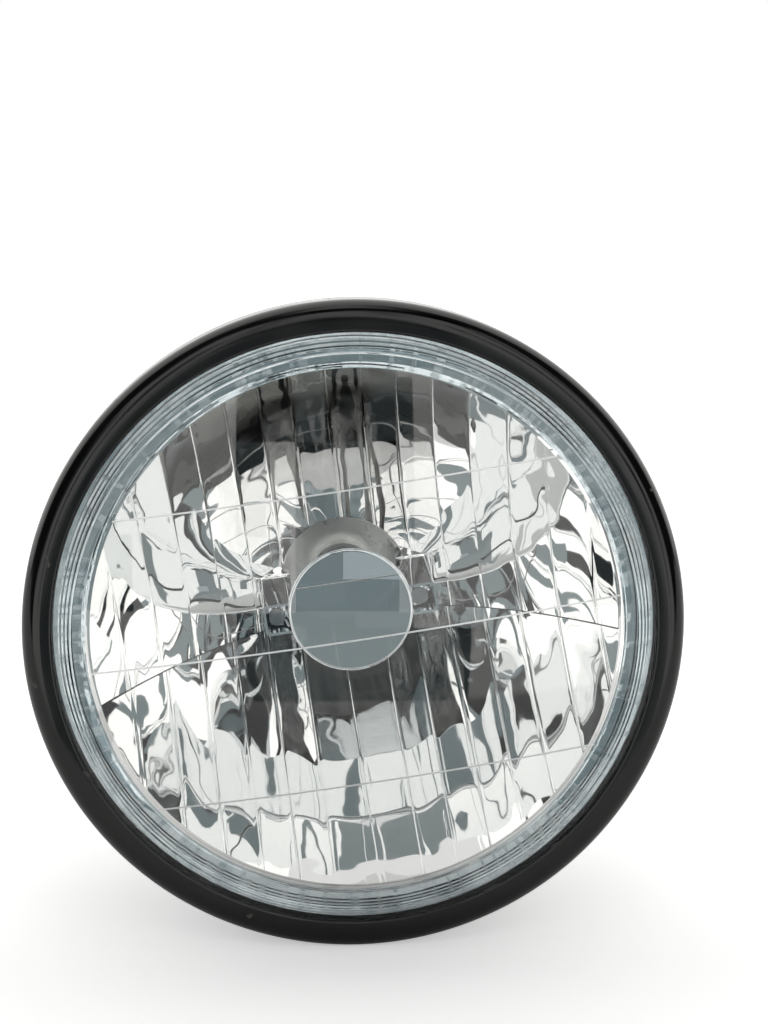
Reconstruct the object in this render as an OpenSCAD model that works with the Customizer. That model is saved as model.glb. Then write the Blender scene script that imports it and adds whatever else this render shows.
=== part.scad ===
// Round motorcycle headlight: domed glass, fluted reflector and steel shell behind a rolled trim ring.
// The optical axis runs along Y through the origin, the lamp faces -Y, and +Z is up.

/* [Overall] */
// Diameter of the trim ring at its widest circle
rim_d = 190; // [186:1:200]
// Depth from the crown of the glass to the back of the cable grommet
depth = 150; // [146:1:162]
// Gap between pieces that slide into or over each other
fit_gap = 0.1; // [0.05:0.05:0.2]

/* [Trim ring] */
// Thickness of the ring's sheet steel
rim_t = 1.2; // [0.8:0.1:1.4]
// Outer radius of the rounded front edge
roll_r = 5.5; // [5:0.1:6]
// Width of the ring outside the edge of the glass
rim_side = 6.2; // [6:0.1:6.8]
// How far the lip reaches over the glass
lip_cover = 2.6; // [2:0.1:3]
// Bevel along the inner edge of the lip
lip_bevel = 1; // [0.6:0.1:1.1]
// Length of the skirt behind the rounded edge
skirt_len = 11; // [9.5:0.5:12]
// How much the skirt narrows over that length
skirt_taper = 0.7; // [0.2:0.1:1]
// Slope between the skirt and the narrower sleeve behind it
joggle = 1.9; // [1.5:0.1:2.2]
// Length of the sleeve over the mouth of the shell
sleeve_len = 6; // [5:0.5:7]

/* [Glass] */
// Thickness of the glass
glass_t = 3.5; // [2.5:0.1:4]
// Thickness of the flange under the lip
lens_flange_t = 3; // [2.5:0.1:3.5]
// Height of the stepped shoulder
shoulder_h = 4.3; // [3.5:0.1:5]
// Rise of the dome from the shoulder to the crown
dome_rise = 7.5; // [6:0.5:9]
// Width of the flat outside the shoulder's first step
lens_flat_w = 4.2; // [3.6:0.1:4.6]
// Width of the shoulder's steps taken together
steps_w = 4.6; // [4:0.1:5]
// Number of steps on the shoulder
step_count = 4; // [3:1:5]
// Width of the flange's face that beds on the seal
lens_foot_w = 11.3; // [10:0.1:12]
// Distance of the outer fine ribs from the middle one
rib_pitch = 42.5; // [36:0.5:48]
// Width of a fine rib
rib_w = 0.5; // [0.4:0.1:0.8]
// Height of a fine rib on the inner face
rib_h = 0.35; // [0.2:0.05:0.5]
// Thickness of the seal between glass and reflector
lens_seal_t = 0.8; // [0.5:0.1:1.2]

/* [Reflector] */
// Width of the flange from the mouth of the reflector to the edge of the glass
flange_w = 13.3; // [12.5:0.1:14]
// Thickness of the flange
flange_t = 1.5; // [1.2:0.1:2]
// Depth of the bowl from its flange to the deepest point
bowl_depth = 69.9; // [68:0.1:71]
// Wall of the bowl
bowl_t = 2.8; // [2.6:0.1:3.2]
// Width of a flute above the ledge
flute_w_up = 9.7; // [9:0.1:10.5]
// Width of a flute below the ledge
flute_w_low = 10.1; // [9.5:0.1:11]
// Width of the two middle flutes above the ledge
flute_mid_up = 10.2; // [9:0.1:12]
// Width of the two middle flutes below the ledge
flute_mid_low = 12.6; // [10:0.1:14]
// Place of the middle ridge above the ledge, to the right of the axis
flute_shift_up = 1.5; // [-3:0.1:3]
// Place of the middle ridge below the ledge, to the right of the axis
flute_shift_low = -2.8; // [-3:0.1:3]
// Depth of a flute below its ridges
flute_depth = 0.3; // [0.2:0.05:0.9]
// Height of the ledge, where the lower part stands proud of the upper one
ledge_h = 1.3; // [1.1:0.1:1.6]
// Level of the ledge, counted from the axis
ledge_y = -11; // [-14:0.5:-9]
// Radius of the bulb hole
bulb_hole_r = 19.5; // [19.3:0.1:19.8]
// Distance from the bulb's flange out to the outside of the neck
neck_margin = 7.8; // [7.3:0.1:8.8]
// Distance from the focus back to the end of the neck
neck_back = 29.4; // [28:0.1:31]

/* [Bulb shield] */
// Diameter of the disc in front of the bulb
shield_d = 37; // [36.5:0.1:37.5]
// Distance of the disc in front of the focus
shield_front = 25; // [24:0.1:28]
// Depth of the cup behind the disc
shield_cup = 10.5; // [8:0.5:12]
// How much the cup narrows over that depth
shield_narrow = 3; // [2:0.1:3.6]
// Thickness of the shield's sheet
shield_t = 0.8; // [0.6:0.1:1]
// How far a leg's side flanges tuck in behind the disc
leg_tuck = 1.2; // [1:0.1:1.6]
// Width of a leg
leg_w = 9.2; // [8:0.1:10]
// Reach of a leg's side flanges
leg_reach = 8.4; // [8.2:0.1:8.6]
// How far a leg's seat is sunk below the bowl at the leg's outer side
seat_sink = 0.1; // [0.1:0.1:0.5]
// Radius of a shield rivet
shield_rivet_r = 1.5; // [1.2:0.1:1.6]

/* [Bulb and its seat] */
// Radius of the bulb's glass
bulb_r = 8.5; // [8:0.1:9]
// Length of the bulb's glass in front of its flange
bulb_len = 47; // [44:1:50]
// Radius of the flange that positions the bulb
bulb_flange_r = 21.2; // [20.6:0.1:21.6]
// Thickness of the bulb's flange
bulb_flange_t = 1.5; // [1.2:0.1:2]
// Radius of the bulb's base behind the flange
bulb_base_r = 11.5; // [10:0.1:12]
// Length of the base behind the flange
bulb_base_len = 12; // [10:0.5:14]
// Length of the insulator behind the base
insulator_len = 9; // [8:0.5:11]
// Length of the terminals that show
terminal_len = 8.5; // [7:0.5:10]
// Width of a terminal
terminal_w = 8; // [6:0.1:8.2]
// Thickness of a terminal
terminal_t = 0.8; // [0.6:0.1:1]
// Distance of a terminal from the axis
terminal_off = 6.5; // [6:0.1:7]
// Thickness of the seat ring
seat_t = 1.2; // [1:0.1:1.5]
// Distance from the bulb's flange out to the middle of the seat's rivets
seat_rivet_margin = 2.7; // [2.6:0.1:2.9]
// Radius of a seat rivet
seat_rivet_r = 1.2; // [1:0.1:1.4]
// Radius of the clip's spring wire
clip_wire_r = 0.75; // [0.6:0.05:0.9]
// Distance of the clip's arms from the axis
clip_half_w = 12.6; // [12.4:0.1:13]
// Wall of the rubber dust boot
boot_t = 2; // [1.5:0.1:2.5]

/* [Shell] */
// Thickness of the shell's sheet steel
shell_t = 1.2; // [1:0.1:1.5]
// Distance from the widest circle of the trim ring back to the mouth of the shell
mouth_back = 8.9; // [8.5:0.1:9.5]
// Length of the shell's straight part
shell_straight = 20; // [18:0.5:21]
// Radius of the shell's flat back
shell_back_r = 34; // [32:0.5:36]
// Thickness of the rubber band between shell and trim ring
rim_seal_t = 0.8; // [0.6:0.1:1.2]
// Radius of the flat pad round a side mount
pad_r = 13; // [12:0.5:14]
// How far a pad stands out of the shell beside it
pad_proud = 1.6; // [1.2:0.1:2]
// Drilled radius of a mount nut's thread
mount_r = 3.4; // [3:0.1:3.6]
// Length of a mount nut
mount_nut_len = 8; // [7:0.5:10]
// Width of a mount nut across its flats
mount_nut_af = 13; // [12:0.5:14]
// Radius of the hole through the pad
mount_hole_r = 4.2; // [4:0.1:4.5]
// Radius of the drain hole
drain_r = 2.5; // [2:0.5:3]

/* [Ring fixings] */
// Thickness of the retaining ring, the straps and the hook
strap_t = 1.1; // [0.8:0.1:1.2]
// Width of the retaining ring
ret_ring_w = 11; // [9:0.5:12]
// Distance of the retaining ring from the inside of the skirt
ret_edge = 0.9; // [0.6:0.1:1.1]
// Width of a lug or a strap round the lamp, in degrees
lug_angle = 7; // [6:0.5:8]
// Radius of a retainer screw
ret_screw_r = 1.25; // [1:0.05:1.3]
// Length of a strap inside the shell
strap_len = 23; // [22:0.5:24]
// Angle of the straps from the lowest point
strap_angle = 35; // [33:1:37]
// Distance of a rim screw behind the mouth of the shell
rim_screw_back = 16; // [15.8:0.1:16.4]
// Radius of a rim screw
rim_screw_r = 2.5; // [2:0.1:2.5]
// Thickness of a washer
washer_t = 1; // [0.8:0.1:1.2]

/* [Cable grommet] */
// Radius of the hole for the cable
cable_r = 9; // [7:0.5:9.5]
// Radius of the hole in the shell
grommet_r = 12; // [11.5:0.5:13]
// Radius of the grommet's flange
grommet_flange_r = 15; // [14.5:0.5:16]
// Thickness of the flange outside the shell
grommet_flange_t = 3; // [2.5:0.5:4]
// Thickness of the lip inside the shell
grommet_lip_t = 2.4; // [2:0.2:3]
// Distance of the grommet below the axis
grommet_drop = 10; // [8:0.5:12]

/* [Hidden] */
$fn = 96;

// Levels along the axis, forward from the middle of the depth
crown_z = depth / 2;
lens_seat_z = crown_z - dome_rise - shoulder_h - lens_flange_t;
lens_face_z = lens_seat_z + lens_flange_t;
rim_front_z = lens_face_z + rim_t;
wide_z = rim_front_z - roll_r;
skirt_z = wide_z - skirt_len;
sleeve_z = skirt_z - joggle;
flange_z = lens_seat_z - lens_seal_t;
flange_back_z = flange_z - flange_t;
mouth_z = wide_z - mouth_back;
bowl_end_z = mouth_z - shell_straight;
shell_back_z = -depth / 2 + grommet_flange_t;

// Radii from the widest circle inward
rim_r = rim_d / 2;
lens_r = rim_r - rim_side;
lip_r = lens_r - lip_cover;
sleeve_r = rim_r - skirt_taper - joggle;
shell_r = sleeve_r - rim_t - rim_seal_t;
dome_r = lens_r - lens_flat_w - steps_w;
bowl_r = lens_r - flange_w;
neck_r = bulb_flange_r + neck_margin;
neck_in_r = neck_r - bowl_t;
seat_rivet_off = bulb_flange_r + seat_rivet_margin;

// Levels that follow the focus of the bowl
focal = pow(bowl_r, 2) / (4 * bowl_depth);
vertex_z = flange_z - bowl_depth;
focus_z = vertex_z + focal;
neck_z = focus_z - neck_back;
shield_z = focus_z + shield_front;
bulb_plane_z = neck_z - seat_t;
base_z = bulb_plane_z - bulb_flange_t;
insulator_z = base_z - bulb_base_len;
terminal_z = insulator_z - insulator_len;

// Bends, heads and edges that follow the sizes above; a cut runs past a face by the value past
dome_sphere_r = (pow(dome_r, 2) + pow(dome_rise, 2)) / (2 * dome_rise);
dome_centre_z = crown_z - dome_sphere_r;
flute_steps = 5;
row_h = 5;
lug_count = 5;
past = 1;
hook_len = 6;
pad_draft = 3;
pad_depth = 9;
head_ratio = 1.75;
nut_ratio = 1.85;
ret_head_in = 0.2;
boot_waist = 6;
boot_grip = 8;
boot_fold = 4;
coil_half = 2.5;
coil_r = 0.8;
coil_up = 1.2;
wire_r = 0.3;
post_r = 0.45;
main_half_w = 2.5;
dip_ahead = 7;
cup_r = 4;
cup_t = 0.5;
cup_half = 4;
cup_span = 200;
collar_t = 1;
collar_h = 7;
shield_r = shield_d / 2;
leg_in = shield_r - leg_tuck;
leg_out = leg_in + leg_reach;
seat_z = bowl_z(leg_out) - seat_sink;
shield_rivet_x = leg_out - shield_t - head_ratio * shield_rivet_r - fit_gap;
collar_r = bulb_hole_r - collar_t / 2;
insulator_r = bulb_base_r - collar_t / 2;

// Points along an arc about [x, y], from angle a to angle b
function arc(x, y, r, a, b, n = 12) =
    [for (i = [0 : n]) let (t = a + (b - a) * i / n) [x + r * cos(t), y + r * sin(t)]];

function backwards(list) = [for (i = [len(list) - 1 : -1 : 0]) list[i]];

// Stands what is drawn along the optical axis into the lamp's frame
module along_axis() {
    rotate([90, 0, 0]) children();
}

// Turns a profile of radius and level about the optical axis
module turned(profile, span = 360, middle = 0) {
    along_axis() rotate([0, 0, span == 360 ? 0 : middle - span / 2])
        rotate_extrude(angle = span) polygon(profile);
}

// A rod along the optical axis
module rod(x, y, z0, z1, r) {
    along_axis() translate([x, y, z0]) cylinder(r = r, h = z1 - z0);
}

// A rod out from the optical axis at an angle and a level
module spoke(angle, z, r0, r1, r) {
    along_axis() rotate([0, 0, angle]) translate([r0, 0, z]) rotate([0, 90, 0])
        cylinder(r = r, h = r1 - r0);
}

// Outer radius of the skirt at a level
function skirt_r(z) = rim_r - skirt_taper * max(0, wide_z - z) / skirt_len;

// The ring's sheet, offset inward by t from its outer surface
function rim_line(t) = concat(
    [[sleeve_r - t, sleeve_z - sleeve_len], [sleeve_r - t, sleeve_z], [skirt_r(skirt_z) - t, skirt_z]],
    arc(rim_r - roll_r, wide_z, roll_r - t, 0, 90, 16));

module trim_ring() {
    lip = [[lip_r + lip_bevel, rim_front_z], [lip_r, rim_front_z - lip_bevel], [lip_r, lens_face_z]];
    color("#141414") turned(concat(rim_line(0), lip, backwards(rim_line(rim_t))));
}

// Height of a sphere about the dome's centre at a distance from the axis
function dome_z(r, inset) = dome_centre_z + sqrt(pow(dome_sphere_r - inset, 2) - r * r);

module lens() {
    step_w = steps_w / step_count;
    step_h = shoulder_h / step_count;
    foot_r = lens_r - lens_foot_w;
    inner_r = dome_r - glass_t;
    steps = [for (i = [0 : step_count - 1]) each [
        [lens_r - lens_flat_w - i * step_w, lens_face_z + i * step_h],
        [lens_r - lens_flat_w - i * step_w - step_h / 4, lens_face_z + (i + 1) * step_h]
    ]];
    outside = [for (i = [0 : 16]) let (r = dome_r * (16 - i) / 16) [r, dome_z(r, 0)]];
    inside = [for (i = [0 : 16]) let (r = inner_r * i / 16) [r, dome_z(r, glass_t)]];
    profile = concat([[foot_r, lens_seat_z], [lens_r, lens_seat_z], [lens_r, lens_face_z]],
        steps, outside, inside);
    rib_layer = concat([for (p = inside) p + [0, glass_t / 2]],
        backwards([for (p = inside) p - [0, rib_h]]));
    color("#dfe9ee", 0.4) {
        turned(profile);
        for (level = [-rib_pitch, 0, rib_pitch]) intersection() {
            turned(rib_layer);
            translate([-lens_r, -crown_z, level - rib_w / 2]) cube([2 * lens_r, crown_z, rib_w]);
        }
    }
}

module lens_seal() {
    color("#c4cacc") turned([
        [lens_r - lens_foot_w, flange_z], [lens_r - fit_gap, flange_z],
        [lens_r - fit_gap, lens_seat_z], [lens_r - lens_foot_w, lens_seat_z]
    ]);
}

// Level of the plain bowl, and of its back, at a distance from the axis
function bowl_z(r) = vertex_z + r * r / (4 * focal);
function bowl_back_z(r) = min(flange_back_z, bowl_z(r) - bowl_t * sqrt(1 + pow(r / (2 * focal), 2)));

// Ridges between flutes: two middle flutes of one width, then the rest
function ridge_x(k, shift, mid, w) = shift + sign(k) * (k == 0 ? 0 : mid + (abs(k) - 1) * w);

// The space above the fluted surface, as one closed body from level y0 to y1
module fluted_space(shift, mid, w, y0, y1, lift) {
    top_z = crown_z + bowl_r;
    k_end = ceil((bowl_r + abs(shift) + past) / w);
    xs = concat([for (k = [-k_end : k_end - 1], s = [0 : flute_steps - 1])
        ridge_x(k, shift, mid, w) * (1 - s / flute_steps) + ridge_x(k + 1, shift, mid, w) * s / flute_steps],
        [ridge_x(k_end, shift, mid, w)]);
    rows = ceil((y1 - y0) / row_h);
    ys = [for (j = [0 : rows]) y0 + (y1 - y0) * j / rows];
    nx = len(xs);
    ny = len(ys);
    groove = [for (i = [0 : nx - 1]) let (u = 2 * (i % flute_steps) / flute_steps - 1)
        flute_depth * (u * u - 1)];
    grid = [for (j = [0 : ny - 1], i = [0 : nx - 1])
        [xs[i], ys[j], vertex_z + (xs[i] * xs[i] + ys[j] * ys[j]) / (4 * focal) + groove[i] + lift]];
    lid = [[xs[0], ys[0], top_z], [xs[nx - 1], ys[0], top_z],
        [xs[nx - 1], ys[ny - 1], top_z], [xs[0], ys[ny - 1], top_z]];
    n = nx * ny;
    last = nx - 1;
    floor_faces = [for (j = [0 : ny - 2], i = [0 : nx - 2])
        [j * nx + i, j * nx + i + 1, (j + 1) * nx + i + 1, (j + 1) * nx + i]];
    sides = [
        concat([n], [n + 1], [for (i = [last : -1 : 0]) i]),
        concat([n + 3], [for (i = [0 : last]) (ny - 1) * nx + i], [n + 2]),
        concat([n], [for (j = [0 : ny - 1]) j * nx], [n + 3]),
        concat([n + 1], [n + 2], [for (j = [ny - 1 : -1 : 0]) j * nx + last]),
        [n, n + 3, n + 2, n + 1]
    ];
    polyhedron(points = concat(grid, lid), faces = concat(floor_faces, sides), convexity = 8);
}

module reflector() {
    edge_r = bowl_r + bowl_t;
    seat_len = leg_reach + 2 * collar_t;
    seat_mid = (leg_in + leg_out) / 2;
    web = [for (i = [0 : 4]) let (r = bulb_hole_r + (neck_in_r - bulb_hole_r) * i / 4) [r, bowl_back_z(r)]];
    back = [for (i = [0 : 20]) let (r = neck_r + (edge_r - neck_r) * i / 20) [r, bowl_back_z(r)]];
    profile = concat([[bulb_hole_r, flange_z]], web, [[neck_in_r, neck_z], [neck_r, neck_z]], back,
        [[lens_r - fit_gap, flange_back_z], [lens_r - fit_gap, flange_z]]);
    color("#c9ccd0") difference() {
        union() {
            turned(profile);
            for (k = [0 : 2])
                rod(seat_rivet_off * cos(90 + 120 * k), seat_rivet_off * sin(90 + 120 * k),
                    neck_z, bowl_back_z(neck_in_r), 2 * seat_rivet_r);
        }
        difference() {
            along_axis() intersection() {
                translate([0, 0, vertex_z - bowl_t]) cylinder(r = bowl_r, h = crown_z - vertex_z);
                union() {
                    fluted_space(flute_shift_up, flute_mid_up, flute_w_up, ledge_y, bowl_r + past, 0);
                    fluted_space(flute_shift_low, flute_mid_low, flute_w_low, -bowl_r - past,
                        ledge_y + fit_gap, ledge_h);
                }
            }
            for (side = [-1, 1]) along_axis()
                translate([side * seat_mid, 0, seat_z + collar_t - focal])
                    cube([seat_len, leg_w + collar_t, 2 * focal], center = true);
        }
        for (side = [-1, 1]) {
            along_axis() translate([side * seat_mid, 0, seat_z + focal])
                cube([seat_len + collar_t, leg_w + 2 * collar_t, 2 * focal], center = true);
            rod(side * shield_rivet_x, 0, neck_z, focus_z, shield_rivet_r + fit_gap);
        }
        for (k = [0 : 2])
            rod(seat_rivet_off * cos(90 + 120 * k), seat_rivet_off * sin(90 + 120 * k),
                neck_z - past, neck_z + 4 * seat_rivet_r,
                seat_rivet_r + fit_gap);
    }
}

module bulb_shield() {
    rear_z = shield_z - shield_cup;
    rear_r = shield_r - shield_narrow;
    leg_top = shield_z - 1.5 * shield_t;
    half_w = leg_w / 2;
    color("#8f9598") difference() {
        union() {
            turned([
                [0, shield_z - shield_t], [shield_r - 1.5 * shield_t, shield_z - shield_t],
                [rear_r - shield_t, rear_z], [rear_r, rear_z], [shield_r, shield_z - shield_t],
                [shield_r - shield_t, shield_z], [0, shield_z]
            ]);
            for (side = [0, 1]) along_axis() mirror([side, 0, 0]) translate([0, 0, seat_z]) {
                linear_extrude(leg_top - seat_z) polygon([
                    [leg_in, -half_w], [leg_out, -half_w], [leg_out, half_w], [leg_in, half_w],
                    [leg_in, half_w - shield_t], [leg_out - shield_t, half_w - shield_t],
                    [leg_out - shield_t, shield_t - half_w], [leg_in, shield_t - half_w]
                ]);
                translate([leg_in, -half_w, 0]) cube([leg_reach, leg_w, shield_t]);
            }
        }
        for (side = [-1, 1])
            rod(side * shield_rivet_x, 0, seat_z - past, focus_z, shield_rivet_r + fit_gap);
    }
}

module shield_rivets() {
    head_z = seat_z + shield_t;
    color("#b5b8ba") for (side = [-1, 1]) {
        rod(side * shield_rivet_x, 0, bowl_back_z(shield_rivet_x), head_z + shield_t / 2, shield_rivet_r);
        rod(side * shield_rivet_x, 0, head_z, head_z + shield_t, head_ratio * shield_rivet_r);
    }
}

module bulb_glass() {
    tip_z = bulb_plane_z + bulb_len;
    color("#e8eef2", 0.4) turned(concat(
        [[bulb_r - collar_t, bulb_plane_z], [bulb_r, bulb_plane_z]],
        arc(0, tip_z - bulb_r, bulb_r, 0, 90), arc(0, tip_z - bulb_r, bulb_r - collar_t, 90, 0)));
}

// A coil along the axis between two posts that stand on the bulb's flange
module filament(y, middle_z, half_w) {
    for (side = [-1, 1]) {
        end_z = middle_z + side * coil_half;
        rod(side * half_w, y, bulb_plane_z, end_z + post_r, post_r);
        along_axis() translate([0, y, end_z]) rotate([0, side * 90, 0]) cylinder(r = wire_r, h = half_w);
    }
    rod(0, y, middle_z - coil_half - 2 * wire_r, middle_z + coil_half + 2 * wire_r, coil_r);
}

module bulb_filaments() {
    color("#9a9a96") {
        filament(coil_up, focus_z, main_half_w);
        filament(-coil_up, focus_z + dip_ahead, cup_r);
        turned([
            [cup_r - cup_t, focus_z + dip_ahead - cup_half], [cup_r, focus_z + dip_ahead - cup_half],
            [cup_r, focus_z + dip_ahead + cup_half], [cup_r - cup_t, focus_z + dip_ahead + cup_half]
        ], cup_span, 270);
    }
}

module bulb_base() {
    socket_r = bulb_r + fit_gap;
    tab_w = 6;
    color("#b9b4a6") {
        turned([
            [0, base_z], [bulb_base_r - collar_t, base_z], [bulb_base_r - collar_t, insulator_z],
            [bulb_base_r, insulator_z], [bulb_base_r, base_z], [bulb_flange_r, base_z],
            [bulb_flange_r, bulb_plane_z], [collar_r, bulb_plane_z], [collar_r, bulb_plane_z + collar_h],
            [collar_r - collar_t, bulb_plane_z + collar_h], [collar_r - collar_t, bulb_plane_z],
            [socket_r + collar_t, bulb_plane_z], [socket_r + collar_t, bulb_plane_z + collar_h],
            [socket_r, bulb_plane_z + collar_h], [socket_r, bulb_plane_z], [0, bulb_plane_z]
        ]);
        for (k = [0 : 2]) along_axis() rotate([0, 0, 30 + 120 * k])
            translate([collar_r, -tab_w / 2, base_z + fit_gap])
                cube([bulb_flange_r - collar_r + 1.5 * collar_t, tab_w, bulb_flange_t - 2 * fit_gap]);
    }
}

module bulb_insulator() {
    plug_r = bulb_base_r - collar_t - fit_gap;
    color("#3a3a3c") turned([
        [0, terminal_z], [insulator_r, terminal_z], [insulator_r, insulator_z],
        [plug_r, insulator_z], [plug_r, base_z], [0, base_z]
    ]);
}

module bulb_terminals() {
    blade = [terminal_w, terminal_t, terminal_len];
    color("#c8b98a") along_axis() translate([0, 0, terminal_z - terminal_len]) {
        translate([-terminal_w / 2, terminal_off, 0]) cube(blade);
        for (side = [-1, 1]) translate([side * terminal_off, 0, 0]) rotate([0, 0, 90])
            translate([-terminal_w / 2, -terminal_t / 2, 0]) cube(blade);
    }
}

module bulb_seat() {
    in_r = collar_r + fit_gap;
    color("#a8a8a4") difference() {
        turned([[in_r, bulb_plane_z], [neck_r, bulb_plane_z], [neck_r, neck_z], [in_r, neck_z]]);
        for (k = [0 : 2]) rod(seat_rivet_off * cos(90 + 120 * k), seat_rivet_off * sin(90 + 120 * k),
            bulb_plane_z - past, neck_z + past, seat_rivet_r + fit_gap);
    }
}

module seat_rivets() {
    color("#b5b8ba") for (k = [0 : 2]) {
        x = seat_rivet_off * cos(90 + 120 * k);
        y = seat_rivet_off * sin(90 + 120 * k);
        rod(x, y, bulb_plane_z - seat_t / 4, neck_z + 3 * seat_rivet_r, seat_rivet_r);
        rod(x, y, bulb_plane_z - seat_t / 2, bulb_plane_z, head_ratio * seat_rivet_r);
    }
}

module bulb_clip() {
    bend_y = seat_rivet_off - clip_half_w;
    foot_y = -sqrt(pow(bulb_flange_r + 2 * clip_wire_r + fit_gap, 2) - pow(clip_half_w, 2));
    wire_z = base_z - clip_wire_r;
    color("#9fa2a4") along_axis() translate([0, 0, wire_z]) {
        for (side = [-1, 1]) translate([side * clip_half_w, bend_y, 0]) {
            rotate([90, 0, 0]) cylinder(r = clip_wire_r, h = bend_y - foot_y);
            translate([0, foot_y - bend_y, 0]) sphere(r = clip_wire_r);
            translate([0, foot_y - bend_y, 0]) cylinder(r = clip_wire_r, h = bulb_plane_z - wire_z);
        }
        translate([0, bend_y, 0]) rotate_extrude(angle = 180) translate([clip_half_w, 0])
            circle(r = clip_wire_r);
    }
}

module dust_boot() {
    grip_r = insulator_r + fit_gap;
    waist_r = neck_r - boot_waist;
    lip_z = neck_z + boot_grip;
    end_z = terminal_z + collar_t;
    bead = boot_t / 2;
    fold_z = base_z - boot_fold;
    color("#1d1d1f") turned([
        [neck_r, lip_z], [neck_r, fold_z], [waist_r, fold_z - boot_fold], [waist_r, insulator_z],
        [grip_r, insulator_z - boot_fold], [grip_r, end_z], [grip_r + boot_t, end_z],
        [grip_r + boot_t, insulator_z - boot_fold - bead], [waist_r + boot_t, insulator_z - bead],
        [waist_r + boot_t, fold_z - boot_fold - bead], [neck_r + boot_t, fold_z - bead],
        [neck_r + boot_t, lip_z - 2 * boot_t], [neck_r + boot_t + bead, lip_z - 2 * boot_t],
        [neck_r + boot_t + bead, lip_z]
    ]);
}

// Sizes that the ring fixings share
ret_out_r = rim_r - rim_t - ret_edge;
ret_back_z = flange_back_z - strap_t;
ret_head_r = head_ratio * ret_screw_r;
ret_screw_at = ret_out_r - ret_head_r + ret_head_in;
lug_in_r = lens_r + 2 * fit_gap;
lug_top = 3;
strap_out_r = shell_r - shell_t - fit_gap;
strap_in_r = strap_out_r - strap_t;
rim_screw_z = mouth_z - rim_screw_back;
strap_angles = [270 - strap_angle, 270 + strap_angle];
nut_corner_r = nut_ratio * rim_screw_r;
nut_face_r = sqrt(pow(strap_in_r, 2) - pow(nut_corner_r, 2));

module lug_holes(z0, z1) {
    for (k = [0 : lug_count - 1]) {
        a = 270 + 360 * k / lug_count;
        rod(ret_screw_at * cos(a), ret_screw_at * sin(a), z0, z1, ret_screw_r + fit_gap);
    }
}

module retaining_ring() {
    in_r = ret_out_r - ret_ring_w;
    color("#8d8f90") difference() {
        turned([
            [in_r, ret_back_z], [ret_out_r, ret_back_z], [ret_out_r, flange_back_z], [in_r, flange_back_z]
        ]);
        lug_holes(ret_back_z - past, flange_back_z + past);
    }
}

module retainer_lugs() {
    bend_r = roll_r - rim_t - fit_gap;
    profile = concat([[lug_in_r, flange_back_z], [skirt_r(flange_back_z) - rim_t - fit_gap, flange_back_z]],
        arc(rim_r - roll_r, wide_z, bend_r, 0, asin(lug_top / bend_r), 6), [[lug_in_r, wide_z + lug_top]]);
    color("#777a7c") difference() {
        for (k = [0 : lug_count - 1]) turned(profile, lug_angle, 270 + 360 * k / lug_count);
        lug_holes(flange_back_z - past, wide_z + lug_top + past);
    }
}

module retainer_screws() {
    color("#b5b8ba") for (k = [0 : lug_count - 1]) {
        a = 270 + 360 * k / lug_count;
        x = ret_screw_at * cos(a);
        y = ret_screw_at * sin(a);
        rod(x, y, ret_back_z - ret_screw_r / 2, wide_z + lug_top, ret_screw_r);
        rod(x, y, ret_back_z - ret_screw_r, ret_back_z, ret_head_r);
    }
}

module rim_seal() {
    color("#1d1d1f") turned([
        [shell_r, sleeve_z - sleeve_len], [shell_r + rim_seal_t, sleeve_z - sleeve_len],
        [shell_r + rim_seal_t, sleeve_z], [shell_r, sleeve_z]
    ]);
}

// Half depth of the bowl's ellipse, chosen so that it meets the flat back at its radius
bowl_a = (bowl_end_z - shell_back_z) / sqrt(1 - pow(shell_back_r / shell_r, 2));

// Outer radius of the bowl at a level behind its straight part
function shell_bowl_r(z) = shell_r * sqrt(1 - pow((bowl_end_z - z) / bowl_a, 2));
pad_x = shell_bowl_r(0) + pad_proud;

// The shell's body up to a level in front, offset inward by t
module shell_body(t, front_z) {
    end_a = asin((bowl_end_z - shell_back_z - t) / (bowl_a - t));
    turned(concat([[0, front_z], [shell_r - t, front_z]],
        [for (i = [0 : 18]) let (a = end_a * i / 18)
            [(shell_r - t) * cos(a), bowl_end_z - (bowl_a - t) * sin(a)]],
        [[0, shell_back_z + t]]));
}

// A pressed pad with sloping sides on one side of the shell, offset inward by t
module pad(side, t) {
    face_x = pad_x - t;
    rotate([0, side * 90, 0]) translate([0, 0, face_x - pad_depth])
        cylinder(r1 = pad_r - t + pad_draft, r2 = pad_r - t, h = pad_depth);
}

module shell() {
    color("#18181a") difference() {
        union() {
            shell_body(0, mouth_z);
            for (side = [-1, 1]) pad(side, 0);
        }
        shell_body(shell_t, mouth_z + past);
        for (side = [-1, 1]) {
            pad(side, shell_t);
            rotate([0, side * 90, 0]) cylinder(r = mount_hole_r, h = pad_x + past);
        }
        for (a = strap_angles) spoke(a, rim_screw_z, strap_in_r, shell_r + past, rim_screw_r + fit_gap);
        spoke(270, rim_screw_z - rim_screw_back, strap_in_r / 2, shell_r + past, drain_r);
        rod(0, -grommet_drop, shell_back_z - past, shell_back_z + 4 * shell_t, grommet_r);
    }
}

// Sheet strip that is welded inside the skirt, steps over the shell's mouth and runs back inside it
module strap(angle, len, hole) {
    step_z = mouth_z + 3 * fit_gap;
    top_z = ret_back_z - 1.5 * strap_t;
    weld_r = skirt_r(step_z) - rim_t - fit_gap;
    weld_top_r = skirt_r(top_z) - rim_t - fit_gap;
    difference() {
        turned([
            [strap_in_r, mouth_z - len], [strap_out_r, mouth_z - len], [strap_out_r, step_z],
            [weld_r, step_z], [weld_top_r, top_z], [weld_top_r - strap_t, top_z],
            [weld_r - strap_t, step_z + strap_t], [strap_in_r, step_z + strap_t]
        ], 1.6 * lug_angle, angle);
        if (hole) spoke(angle, rim_screw_z, strap_in_r - past, strap_out_r + past, rim_screw_r + fit_gap);
    }
}

module rim_strap_left() {
    color("#6f7274") strap(strap_angles[0], strap_len, true);
}

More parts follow.
